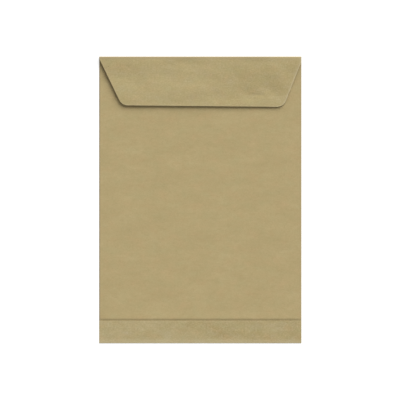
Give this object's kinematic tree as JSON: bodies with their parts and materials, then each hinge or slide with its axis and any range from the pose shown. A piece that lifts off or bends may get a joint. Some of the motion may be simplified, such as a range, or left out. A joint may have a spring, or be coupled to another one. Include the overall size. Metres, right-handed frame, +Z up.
{
  "type": "self-seal kraft bag",
  "caption": "Flat kraft paper mailing bag with a glued bottom flap and a folded-over closing flap that carries a self-seal band under a peel-off strip.",
  "frame": {"origin": "on the table under the middle of the bag, on its address side", "axes": "+X across the bag to the right as seen from the flap side, +Y along the bag from the bottom fold to the mouth fold, +Z up through the stack of panels, out of the flap side"},
  "size_m": [0.24, 0.34, 0.0062],
  "materials": {
    "kraft_paper": "matte",
    "dried_glue": "satin",
    "seal_adhesive": "gloss",
    "release_paper": "satin"
  },
  "bodies": {
    "root": {"kraft_bag": "kraft_paper", "side_seam_glue": "dried_glue", "bottom_flap_glue": "dried_glue", "seal_adhesive": "seal_adhesive", "release_strip": "release_paper"}
  },
  "joints": []
}
